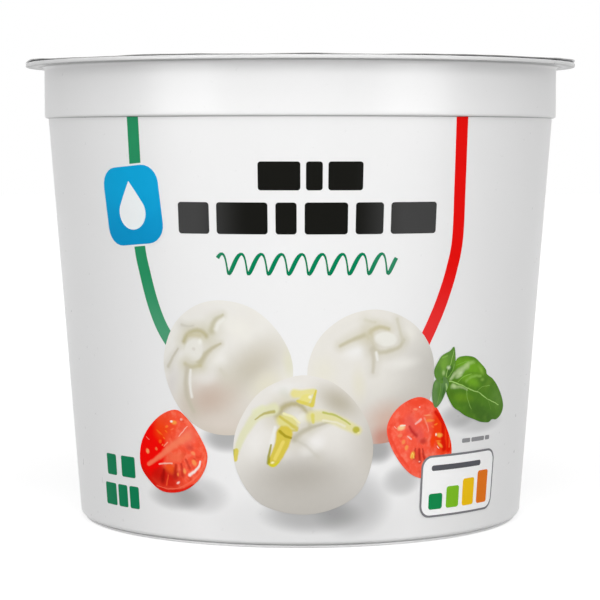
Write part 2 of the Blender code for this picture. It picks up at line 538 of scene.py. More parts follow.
def print_piece(flat, name, material, layer=0, centre=(0.0, 0.0)):
    """Cuts a flat shape in strips, gives it a thin skin's thickness and bends it round the wall."""
    edges = [v.co.x for v in flat.verts]
    first = math.ceil(min(edges) / STRIP_WIDTH)
    last = math.floor(max(edges) / STRIP_WIDTH)
    for strip in range(first, last + 1):
        geometry = flat.verts[:] + flat.edges[:] + flat.faces[:]
        plane = (strip * STRIP_WIDTH, 0, 0)
        bmesh.ops.bisect_plane(flat, geom=geometry, dist=0.0001, plane_co=plane, plane_no=(1, 0, 0))
    raised = bmesh.ops.extrude_face_region(flat, geom=flat.faces[:])["geom"]
    raised = [part for part in raised if isinstance(part, bmesh.types.BMVert)]
    bmesh.ops.translate(flat, vec=(0, 0, SKIN), verts=raised)
    bmesh.ops.recalc_face_normals(flat, faces=flat.faces[:])
    uv = flat.loops.layers.uv.new("Print")
    for face in flat.faces:
        for loop in face.loops:
            loop[uv].uv = (loop.vert.co.x - centre[0], loop.vert.co.y - centre[1])
    lowest = SKIN * (layer + 0.5)
    for vert in flat.verts:
        vert.co = on_wall(vert.co.x, vert.co.y, lowest + vert.co.z)
    return finish_piece(flat, name, [material])


def outlined(*outlines):
    """A flat shape with one face inside each outline."""
    flat = bmesh.new()
    for outline in outlines:
        flat.faces.new([flat.verts.new((*point, 0.0)) for point in outline])
    return flat


def add_block(flat, centre, width, height, corner, tilt=0.0):
    """Adds a rectangle with rounded corners to a flat shape."""
    place = Matrix.LocRotScale((*centre, 0.0), Matrix.Rotation(tilt, 3, "Z"), (width, height, 1.0))
    made = bmesh.ops.create_grid(flat, x_segments=1, y_segments=1, size=0.5, matrix=place)
    bmesh.ops.bevel(
        flat, geom=made["verts"], offset=corner, offset_type="OFFSET", segments=6, profile=0.5,
        affect="VERTICES", material=-1,
    )


def add_stroke(flat, path, widths):
    """Adds a pen stroke along a path, with a width for each of its points."""
    edge = None
    for i, point in enumerate(path):
        ahead = path[min(i + 1, len(path) - 1)] - path[max(i - 1, 0)]
        side = Vector((-ahead.y, ahead.x)).normalized() * widths[i] / 2
        if edge is None:
            ends = [flat.verts.new((*(point + s), 0.0)) for s in (side, -side)]
            edge = flat.edges.new(ends)
            continue
        made = bmesh.ops.extrude_edge_only(flat, edges=[edge])["geom"]
        near = [v for v in made if isinstance(v, bmesh.types.BMVert)]
        edge = next(e for e in made if isinstance(e, bmesh.types.BMEdge) and set(e.verts) == set(near))
        left, right = sorted(near, key=lambda v: -(v.co.xy - path[i - 1]).dot(side))
        left.co.xy = point + side
        right.co.xy = point - side


def printed_ink(name, colour, faded=None, fade_from=0.0, fade_to=0.0, sideways=False):
    """A flat ink with print's small unevenness, which may fade along its height or to its sides."""
    paint = Paint(name)
    place, across, up = paint.print_place()
    base = colour
    if faded:
        along = abs(across) if sideways else up
        base = paint.mix(along.rise(fade_from, fade_to), colour, faded)
    clouds = paint.noise(place, 0.35, 3.0) * 0.06 + 0.97
    return paint.print_over(base, place, clouds, 0.05)


# ---------------------------------------------------------------- stripes, badge, title and card


def make_stripes():
    """The two stripes, from the collar down to the food."""
    left = [
        (-27.1, 68.75), (-27.1, 58.0), (-27.1, 48.6), (-26.2, 43.5), (-24.9, 38.7), (-23.3, 35.0),
        (-20.9, 31.6),
    ]
    right = [
        (25.95, 68.75), (26.2, 58.0), (26.3, 49.3), (25.4, 44.3), (24.1, 40.2), (22.6, 36.6),
        (20.0, 31.4),
    ]
    green = printed_ink("green_ink", ink(42, 146, 98), ink(78, 158, 118), 44.0, 33.0)
    red = printed_ink("red_ink", ink(238, 14, 10), ink(236, 52, 52), 46.0, 33.0)
    for name, corners, colour in (("left", left, green), ("right", right, red)):
        flat = bmesh.new()
        path = smooth_path(corners)
        add_stroke(flat, path, [STRIPE_WIDTH] * len(path))
        print_piece(flat, f"print_stripe_{name}", colour)


def make_badge():
    """A plain blue badge with a white drop, over the left stripe."""
    centre, width, height, tilt = (-28.3, 54.6), 11.6, 12.6, math.radians(5)
    rim = bmesh.new()
    add_block(rim, centre, width + 0.6, height + 0.6, 3.3, tilt)
    print_piece(rim, "print_badge_rim", printed_ink("white_ink", (0.868, 0.868, 0.868, 1.0)), 1)
    plate = bmesh.new()
    add_block(plate, centre, width, height, 3.0, tilt)
    blue = printed_ink("blue_ink", ink(14, 168, 222), ink(10, 150, 206), 4.0, -6.0)
    print_piece(plate, "print_badge", blue, 2, centre)
    point, low = Vector((0.0, 3.9)), 1.15
    drop = arc((0.0, -low), 2.75, -205, 25, 20)
    drop = [*drop, (1.55, 1.55), (0.55, 3.1), tuple(point), (-0.55, 3.1), (-1.55, 1.55)]
    turned_drop = [Vector(p) @ Matrix.Rotation(-tilt, 2) + Vector(centre) for p in drop]
    print_piece(outlined(turned_drop), "print_badge_drop", printed_ink("drop_ink", ink(245, 249, 250)), 3)


def add_row(flat, left, middle, widths, gap, height, corner):
    """Adds a row of blocks from left to right; returns where it ends."""
    for width in widths:
        add_block(flat, (left + width / 2, middle), width, height, corner)
        left += width + gap
    return left - gap


def make_title():
    """Two rows of dark blocks in place of a title, and a green pen wave under them."""
    blocks = bmesh.new()
    add_row(blocks, -6.4, 59.45, [6.4, 2.5, 5.3], 0.85, 4.5, 0.45)
    add_row(blocks, -19.4, 52.8, [5.2, 8.0, 3.2, 6.6, 4.4, 7.8], 1.22, 5.0, 0.5)
    black = printed_ink("black_ink", ink(20, 20, 17), ink(66, 66, 66), 8.0, 17.0, sideways=True)
    print_piece(blocks, "print_title", black)
    left, middle, length, height, waves, steps = -13.0, 45.6, 28.2, 1.6, 9, 160
    path, widths = [], []
    for step in range(steps + 1):
        share = step / steps
        turn = share * waves * math.tau
        across = left + length * share + 0.3 * math.sin(turn)
        path.append(Vector((across, middle + height * math.sin(turn + 0.6))))
        widths.append(0.46 + 0.2 * math.sin(turn + 2.2))
    wave = bmesh.new()
    add_stroke(wave, path, widths)
    green = printed_ink("pen_ink", ink(4, 128, 84), ink(46, 136, 98), 9.0, 15.0, sideways=True)
    print_piece(wave, "print_wave", green)


def make_card():
    """A white card edged in grey, with a grey heading bar and a plain chart of bars, beside the food."""
    centre = (30.15, 9.2)
    edge = bmesh.new()
    add_block(edge, centre, 17.8, 10.2, 2.0)
    print_piece(edge, "print_card_edge", printed_ink("grey_ink", ink(128, 128, 132)), 4)
    face = bmesh.new()
    add_block(face, centre, 17.1, 9.5, 1.7)
    print_piece(face, "print_card", printed_ink("card_ink", ink(255, 255, 255)), 5)
    heading = bmesh.new()
    add_block(heading, (centre[0] - 1.0, 12.2), 11.6, 0.9, 0.4)
    print_piece(heading, "print_card_heading", printed_ink("heading_ink", ink(92, 92, 98)), 6)
    colours = [ink(20, 140, 78), ink(130, 194, 40), ink(248, 200, 24), ink(236, 122, 30)]
    for i, colour in enumerate(colours):
        bar = bmesh.new()
        tall = 2.6 + 0.95 * i
        add_block(bar, (centre[0] - 5.7 + 3.8 * i, 5.4 + tall / 2), 2.9, tall, 0.45)
        print_piece(bar, f"print_chart_bar_{i + 1}", printed_ink(f"bar_ink_{i + 1}", colour), 6)


def make_small_print():
    """Two rows of green blocks at the left, and three grey dashes over the card."""
    quantity = bmesh.new()
    add_row(quantity, -39.2, 11.6, [2.9, 3.6], 1.5, 3.5, 0.35)
    add_row(quantity, -40.2, 6.6, [3.4, 2.6, 2.4], 0.6, 3.7, 0.35)
    print_piece(quantity, "print_quantity", printed_ink("quantity_ink", ink(12, 128, 84)))
    note = bmesh.new()
    add_row(note, 29.9, 16.2, [2.0, 3.4, 1.2], 0.35, 0.7, 0.2)
    print_piece(note, "print_note", printed_ink("note_ink", ink(150, 150, 152)))


# ---------------------------------------------------------------- the printed food


class View(Paint):
    """A printed view: soft ovals and tapered lines, laid over its first colour in turn.

    The lines waver a little. A mark has its colour, its strength, and its softness: the share of
    its half width inside which it has its full strength.
    """

    def __init__(self, name, colour, waver):
        super().__init__(name)
        self.flat, _, _ = self.print_place()
        sway = self.vector("SUBTRACT", self.noise(self.flat, 0.7, out=1), (0.5, 0.5, 0.5))
        self.place = self.vector("MULTIPLY_ADD", sway, (waver, waver, 0.0), self.flat)
        self.colour = ink(*colour)

    def lay(self, distance, soft, colour, strength):
        """Lays a colour where a distance is under 1, full strength from soft inwards."""
        self.colour = self.mix(distance.rise(1.0, soft) * strength, self.colour, ink(*colour))

    def oval(self, centre, half, colour, strength, tilt=0, soft=0.0):
        sockets = {
            "Vector": self.place, "Location": (*centre, 0.0),
            "Rotation": (0.0, 0.0, math.radians(tilt)), "Scale": (*half, 1.0),
        }
        inside = self.node("ShaderNodeMapping", {"vector_type": "TEXTURE"}, sockets)
        self.lay(self.vector("LENGTH", inside, out=1), soft, colour, strength)

    def crease(self, points, half_widths, colour, strength):
        """A line with a broad soft shade at its sides."""
        self.line(points, half_widths, colour, strength, shade=0.35)

    def line(self, points, half_widths, colour, strength, soft=0.0, shade=0.0):
        """A smooth line through some points, which widens or narrows evenly."""
        nearest = None
        points = smooth_path(points, 2) if len(points) > 2 else points
        first, last = half_widths
        widening = (last - first) / (len(points) - 1)
        for i, (start, end) in enumerate(zip(points, points[1:])):
            run = Vector((*end, 0.0)) - Vector((*start, 0.0))
            away = self.vector("SUBTRACT", self.place, (*start, 0.0))
            share = self.vector("DOT_PRODUCT", away, tuple(run / run.length_squared), out=1)
            share = self.node("ShaderNodeClamp", None, {"Value": share})
            along = self.node("ShaderNodeVectorMath", {"operation": "SCALE"}, {0: tuple(run), "Scale": share})
            distance = self.vector("DISTANCE", away, along, out=1)
            distance = distance / (share * widening + (first + widening * i))
            nearest = nearest.least(distance) if nearest else distance
        if shade:
            self.lay(nearest * 0.3, 0.0, colour, shade)
        self.lay(nearest, soft, colour, strength)

    def mottle(self, scale, start, end, colour, strength):
        """Lays a colour in fine patches, where a noise goes from start to end."""
        patches = self.noise(self.flat, scale, 3.0).rise(start, end)
        self.colour = self.mix(patches * strength, self.colour, ink(*colour))

    def printed(self, unevenness):
        clouds = self.noise(self.flat, 0.9, 3.0) * (2 * unevenness) + (1.0 - unevenness)
        return self.print_over(self.colour, self.flat, clouds, 0.04)


def left_ball():
    view = View("cheese_left", (236, 234, 228), 0.25)
    view.oval((-1.2, -27.9), (39.65, 29.52), (208, 197, 183), 0.95, 0, 0.5)
    view.oval((4.4, 0.1), (10.93, 5.73), (198, 191, 173), 0.85, 36)
    view.oval((3.1, 6.8), (7.88, 3.71), (234, 231, 224), 0.8, 38)
    view.oval((6.8, -2.6), (4.62, 3.2), (228, 224, 204), 0.85, 38)
    view.oval((10.4, 0.9), (1.59, 3.97), (224, 222, 198), 0.8, 5)
    view.oval((-3.1, -5.1), (7.71, 4.73), (201, 179, 163), 0.8, 15)
    view.oval((-0.9, -8.9), (7.0, 2.16), (222, 212, 202), 0.7)
    view.oval((-9.8, -2.9), (1.97, 5.16), (216, 211, 208), 0.6, -15)
    view.oval((-3.2, 9.2), (6.34, 1.86), (234, 231, 226), 0.5)
    view.oval((2.0, 6.4), (4.1, 2.91), (240, 238, 230), 0.8, -30)
    view.oval((-1.2, 1.3), (2.28, 1.87), (241, 239, 233), 0.8, 20)
    view.oval((-3.3, -1.5), (2.66, 1.89), (236, 233, 228), 0.7)
    view.crease([(-0.8, -0.3), (0.2, -1.4)], (0.56, 0.9), (214, 209, 194), 0.59)
    view.crease([(-2.1, 5.9), (-1.9, 7.0), (-1.2, 7.9), (-0.2, 8.5)], (1.02, 0.39), (198, 193, 164), 0.81)
    view.line([(-1.4, 6.2), (-1.0, 7.0), (-0.1, 7.8)], (0.73, 0.46), (240, 239, 232), 0.7)
    view.crease([(-4.4, 0.8), (-3.3, 2.1), (-2.2, 3.1), (-0.7, 3.9)], (1.02, 0.34), (192, 184, 152), 0.81)
    view.crease(
        [(-7.1, 4.1), (-6.5, 5.1), (-5.3, 5.8), (-4.0, 5.8), (-3.1, 5.1)],
        (0.73, 0.73), (188, 180, 138), 0.85,
    )
    view.crease([(-6.0, 5.2), (-4.2, 5.1)], (0.58, 0.58), (206, 199, 166), 0.77)
    view.oval((-5.4, 2.7), (1.87, 2.15), (234, 232, 224), 0.95, -22, 0.7)
    view.oval((-4.2, 4.1), (0.65, 0.7), (244, 243, 236), 0.9)
    view.oval((-5.4, 2.9), (0.48, 0.43), (220, 216, 206), 0.8, 0, 0.2)
    view.crease([(-7.0, 0.4), (-5.9, 0.0), (-4.3, 0.3)], (0.68, 0.51), (200, 193, 154), 0.81)
    view.crease([(-10.3, -0.1), (-9.4, 1.3), (-8.3, 2.8)], (0.51, 0.29), (198, 192, 174), 0.77)
    view.crease([(-7.4, 6.7), (-6.4, 6.5), (-5.3, 6.6)], (0.46, 0.17), (206, 202, 188), 0.68)
    view.crease(
        [(-6.7, -0.3), (-7.1, -2.7), (-6.9, -4.9), (-5.9, -7.1)],
        (0.85, 0.68), (200, 193, 174), 0.81,
    )
    view.line([(-6.1, -0.5), (-6.3, -2.7), (-6.1, -4.8)], (0.41, 0.46), (240, 238, 232), 0.9)
    return view.printed(0.015)


def right_ball():
    view = View("cheese_right", (232, 229, 222), 0.25)
    view.oval((14.8, -0.4), (13.87, 12.22), (198, 195, 188), 0.95, 0, 0.2)
    view.oval((5.0, -27.8), (38.4, 29.7), (200, 194, 185), 0.9, 0, 0.5)
    view.oval((6.4, -4.8), (7.13, 4.62), (198, 193, 185), 0.6)
    view.oval((-8.2, 1.0), (3.47, 3.97), (232, 229, 212), 0.6)
    view.oval((-2.4, -1.2), (1.94, 4.29), (229, 225, 206), 0.7, 5)
    view.oval((2.9, -7.1), (5.93, 4.59), (212, 180, 164), 0.9)
    view.oval((2.4, -10.0), (3.86, 2.97), (200, 146, 130), 0.95, 0, 0.2)
    view.oval((4.9, 2.0), (4.48, 1.61), (238, 236, 230), 0.85, 5)
    view.oval((-3.1, 4.2), (3.01, 2.12), (240, 239, 236), 0.85, 20)
    view.oval((-0.5, 9.6), (6.6, 1.59), (234, 231, 224), 0.6)
    view.oval((6.2, 6.8), (1.81, 2.15), (240, 238, 230), 0.7, 30)
    view.crease([(-5.5, 5.1), (-4.1, 5.8), (-2.8, 6.3), (-1.7, 6.7)], (0.51, 0.73), (196, 189, 158), 0.81)
    view.crease([(-1.6, 9.1), (0.1, 8.7)], (0.56, 0.34), (214, 210, 192), 0.59)
    view.crease([(-0.8, 6.5), (-0.5, 7.4), (0.8, 7.9), (2.4, 7.6)], (0.85, 0.51), (198, 190, 152), 0.81)
    view.crease([(-0.8, 6.5), (0.0, 4.8)], (0.46, 0.29), (214, 209, 190), 0.77)
    view.crease(
        [(-0.2, 4.5), (1.0, 3.9), (3.1, 4.2), (4.5, 4.8), (5.0, 5.7)],
        (0.68, 0.56), (199, 193, 168), 0.81,
    )
    view.crease([(3.8, 9.2), (4.2, 7.6), (5.0, 5.6)], (0.46, 0.46), (212, 208, 190), 0.77)
    view.oval((1.9, 6.0), (2.22, 1.33), (238, 237, 229), 0.9, -6, 0.7)
    view.crease([(-0.4, 4.4), (0.0, 2.7), (-0.1, 0.8)], (0.73, 0.51), (203, 197, 180), 0.81)
    view.line([(0.4, 3.9), (0.6, 2.7)], (0.46, 0.36), (240, 239, 234), 0.8)
    return view.printed(0.015)


def front_ball():
    """The ball in front, with olive oil over its knot."""
    view = View("cheese_front", (232, 229, 223), 0.25)
    view.oval((2.4, -28.7), (38.35, 31.62), (190, 186, 179), 1.0, 0, 0.55)
    view.oval((-0.6, -4.8), (11.9, 5.13), (176, 171, 162), 0.8, 4)
    view.oval((14.7, 0.3), (9.9, 10.26), (196, 190, 180), 1.0, 0, 0.1)
    view.oval((5.7, 7.0), (6.29, 3.6), (188, 181, 163), 0.95, -30)
    view.oval((-8.0, 0.3), (2.52, 3.51), (238, 236, 232), 0.8, -20)
    view.oval((1.6, 0.1), (3.14, 1.78), (240, 238, 235), 0.85, 32, 0.2)
    view.oval((-2.7, 9.4), (4.03, 1.32), (236, 235, 232), 0.7, 8)
    view.oval((-3.0, -1.0), (1.93, 1.88), (228, 225, 219), 0.5)
    view.crease([(-1.5, 1.0), (0.3, 0.1), (2.5, -1.9)], (0.29, 0.58), (203, 199, 188), 0.51)
    view.line([(-2.6, 8.1), (-3.2, 8.6)], (1.0, 1.36), (222, 223, 214), 0.6)
    view.crease(
        [(-4.1, 4.8), (-3.5, 6.0), (-1.9, 6.8), (-0.3, 6.4), (0.9, 4.8)],
        (1.14, 0.51), (176, 165, 112), 0.77,
    )
    view.oval((0.0, 4.5), (1.25, 1.17), (238, 236, 224), 0.9, 0, 0.3)
    view.crease([(1.1, 5.8), (1.2, 4.9), (1.0, 3.3)], (0.68, 0.58), (206, 201, 176), 0.68)
    view.crease([(-1.5, 1.2), (-0.3, 2.2), (1.6, 3.1), (4.3, 3.8)], (1.02, 0.29), (184, 177, 152), 0.72)
    view.line([(-4.6, 3.0), (-4.9, 1.7), (-5.2, 0.3)], (0.44, 0.7), (240, 240, 236), 0.7, 0.1)
    view.line([(-1.4, 8.4), (0.0, 8.4), (1.6, 8.7)], (1.01, 0.73), (231, 222, 140), 0.91, 0.35)
    view.oval((0.3, 7.5), (1.4, 0.91), (232, 222, 130), 0.95, 20, 0.6)
    view.line([(1.4, 6.6), (1.7, 7.6), (2.0, 8.9)], (0.56, 0.18), (218, 202, 62), 0.9, 0.4)
    view.line([(-0.9, 7.2), (0.0, 6.9), (1.2, 6.6)], (0.34, 0.45), (220, 206, 84), 0.85, 0.4)
    view.oval((1.1, 7.8), (0.43, 0.37), (247, 245, 222), 0.8, 0, 0.3)
    view.line(
        [(-4.8, 5.9), (-6.5, 5.4), (-7.9, 4.6), (-9.1, 2.9), (-10.3, 1.0), (-11.2, -1.2)],
        (1.37, 0.73), (224, 224, 184), 0.85, 0.35,
    )
    view.line([(-4.8, 5.5), (-6.4, 5.2), (-7.9, 4.2)], (0.46, 0.17), (184, 176, 96), 0.9, 0.2)
    view.line([(-6.7, 6.1), (-7.9, 5.4)], (0.74, 0.91), (228, 230, 190), 0.6, 0.2)
    view.line([(-11.2, -0.9), (-11.4, -2.3)], (0.5, 0.53), (219, 203, 84), 0.95, 0.5)
    view.line([(-11.6, -0.8), (-11.8, -1.9)], (0.21, 0.28), (180, 176, 60), 0.8, 0.3)
    view.oval((-2.6, 3.8), (2.34, 1.56), (224, 217, 138), 0.95, -18, 0.55)
    view.line([(-3.8, 4.7), (-2.5, 3.8), (-1.1, 2.8)], (0.33, 0.5), (206, 192, 76), 0.8, 0.2)
    view.line([(-3.2, 5.2), (-1.7, 4.7), (-0.6, 3.7)], (0.33, 0.25), (240, 236, 186), 0.8, 0.2)
    view.line([(-3.5, 3.0), (-2.5, 2.5), (-1.1, 2.5)], (0.42, 0.33), (208, 196, 92), 0.8, 0.2)
    view.line(
        [(-3.1, 1.9), (-3.5, 0.3), (-4.2, -1.3), (-5.0, -2.6)],
        (1.57, 1.01), (216, 196, 76), 1.0, 0.7,
    )
    view.line([(-3.8, 2.3), (-3.0, 1.6), (-2.0, 1.3)], (0.4, 0.28), (166, 150, 30), 0.9, 0.3)
    view.line([(-3.3, 0.6), (-4.0, -0.7), (-4.7, -2.1)], (0.46, 0.4), (234, 216, 112), 0.8, 0.35)
    view.line([(-5.3, 0.1), (-5.7, -1.6), (-5.8, -2.8)], (0.24, 0.44), (158, 152, 20), 0.9, 0.3)
    view.line([(-5.6, -3.0), (-4.9, -3.2), (-4.1, -2.6)], (0.28, 0.24), (212, 204, 40), 0.9, 0.3)
    view.oval((-5.1, -2.7), (0.47, 0.27), (248, 243, 190), 0.9, 20, 0.2)
    view.line(
        [(1.4, 4.7), (3.2, 4.8), (5.4, 4.1), (7.1, 3.3), (8.9, 2.4)],
        (1.38, 1.09), (226, 220, 158), 0.91, 0.35,
    )
    view.line([(3.2, 5.4), (5.4, 4.8), (7.7, 3.4)], (0.29, 0.2), (186, 190, 82), 0.85, 0.2)
    view.line([(1.5, 4.9), (1.6, 3.8)], (0.52, 0.35), (220, 212, 100), 0.85, 0.3)
    view.line([(3.2, 4.1), (5.5, 3.7), (6.8, 3.1)], (0.31, 0.34), (236, 232, 214), 0.8, 0.1)
    view.oval((8.7, 2.5), (0.76, 0.72), (186, 180, 62), 0.95, 0, 0.5)
    view.oval((9.1, 2.0), (0.26, 0.21), (238, 232, 160), 0.8, 0, 0.3)
    return view.printed(0.015)


def left_tomato():
    view = View("tomato_left", (255, 88, 60), 0.4)
    view.mottle(0.9, 0.45, 0.7, (255, 136, 104), 0.5)
    view.mottle(0.6, 0.5, 0.75, (226, 40, 16), 0.55)
    view.oval((-4.8, 0.5), (4.3, 6.2), (252, 5, 1), 1.0, -8, 0.75)
    view.oval((-1.0, 4.4), (3.36, 2.46), (250, 70, 30), 0.8, -20, 0.3)
    view.oval((-1.7, 3.2), (2.24, 2.27), (250, 66, 12), 0.8, -28, 0.2)
    view.oval((3.4, 2.7), (2.88, 2.26), (252, 118, 96), 0.8, 20, 0.1)
    view.line(
        [(-6.7, -3.2), (-4.4, -5.5), (-1.7, -6.6), (1.7, -6.4), (4.2, -5.3)],
        (0.99, 0.41), (228, 18, 4), 0.9, 0.4,
    )
    view.oval((-2.2, -3.7), (2.7, 1.45), (206, 16, 8), 0.9, 20, 0.3)
    view.oval((0.3, -3.8), (2.05, 1.44), (206, 46, 34), 0.85, 0, 0.3)
    view.oval((3.8, 0.9), (1.2, 0.74), (226, 70, 58), 0.8, 0, 0.1)
    view.oval((-1.6, -4.8), (4.83, 2.17), (212, 18, 5), 0.85, -8, 0.3)
    view.oval((-0.1, -2.8), (1.81, 1.24), (244, 84, 26), 0.9, 0, 0.2)
    view.line([(-5.0, -2.4), (-2.4, -1.0), (0.3, 0.9), (3.4, 2.7)], (0.45, 1.1), (255, 132, 96), 0.85, 0.2)
    view.oval((1.0, -0.9), (2.79, 1.23), (253, 112, 78), 0.8, 15, 0.2)
    view.oval((-0.5, -2.5), (1.05, 0.91), (250, 88, 34), 0.8, 0, 0.2)
    view.line([(0.9, -2.2), (0.6, -4.0)], (0.44, 0.83), (188, 34, 22), 0.85)
    view.line([(2.0, -1.9), (2.2, -3.7)], (0.34, 0.71), (200, 46, 34), 0.8)
    view.line([(-0.8, -3.9), (-1.2, -5.6)], (0.19, 0.22), (250, 92, 50), 0.8, 0.2)
    view.line([(-1.6, -3.2), (-2.0, -4.8)], (0.44, 0.95), (160, 8, 4), 0.8)
    view.line([(2.9, -1.2), (3.6, -2.4)], (0.34, 0.59), (210, 56, 42), 0.8)
    view.line(
        [(-3.3, -5.8), (-0.9, -6.2), (1.7, -5.7), (4.2, -4.4), (6.1, -2.2), (6.6, -0.2)],
        (0.16, 0.24), (255, 122, 92), 0.6, 0.1,
    )
    view.oval((-1.3, 2.1), (0.4, 0.19), (255, 124, 44), 0.9, -35, 0.3)
    view.oval((-0.8, 3.2), (0.47, 0.18), (255, 112, 34), 0.85, -40, 0.3)
    view.oval((-1.6, 1.0), (0.32, 0.17), (255, 134, 70), 0.85, 20, 0.3)
    view.oval((0.5, 3.7), (0.61, 0.18), (255, 120, 84), 0.7, 30, 0.2)
    view.oval((0.9, 4.8), (0.85, 0.45), (255, 158, 70), 1.0, 0, 0.3)
    view.oval((-0.6, 4.1), (0.46, 0.33), (255, 130, 50), 0.9, 30, 0.3)
    view.oval((-2.1, 1.5), (0.45, 0.43), (255, 96, 24), 0.9, 0, 0.3)
    view.oval((-2.2, 3.0), (1.05, 0.27), (255, 110, 30), 0.9, -30, 0.3)
    view.oval((-5.0, -0.3), (0.49, 0.6), (255, 160, 100), 1.0, 25, 0.3)
    view.oval((-3.0, 0.2), (0.33, 0.41), (255, 128, 76), 0.9, 10, 0.3)
    view.oval((4.4, 0.0), (0.62, 0.41), (255, 146, 96), 1.0, -30, 0.3)
    view.oval((4.5, -1.5), (0.54, 0.72), (255, 152, 84), 1.0, 30, 0.3)
    view.oval((2.6, -3.0), (0.42, 0.64), (255, 156, 88), 1.0, 10, 0.3)
    view.oval((1.3, -3.7), (0.33, 0.45), (252, 132, 66), 0.95, 0, 0.3)
    view.line(
        [(5.6, -1.3), (5.4, -2.1), (4.5, -2.9), (3.6, -3.6)],
        (0.29, 0.44), (255, 240, 232), 0.95, 0.1,
    )
    view.oval((0.4, 4.9), (0.4, 0.25), (255, 244, 232), 1.0, 0, 0.3)
    view.line([(3.4, 4.3), (1.7, 2.6)], (0.13, 0.1), (255, 196, 178), 0.9, 0.1)
    view.line([(-2.6, -2.3), (-1.4, -2.0), (0.1, -1.9)], (0.2, 0.2), (255, 206, 190), 0.8, 0.1)
    view.oval((2.4, 5.4), (0.39, 0.33), (255, 196, 180), 0.8, 0, 0.2)
    view.oval((1.2, -5.0), (0.51, 0.25), (255, 226, 216), 0.85, 30, 0.2)
    view.line([(-5.1, 2.1), (-4.5, 1.7)], (0.13, 0.13), (255, 150, 130), 0.8, 0.1)
    view.line([(-1.3, 0.8), (-0.6, 1.4)], (0.13, 0.16), (255, 170, 140), 0.8, 0.1)
    return view.printed(0.05)


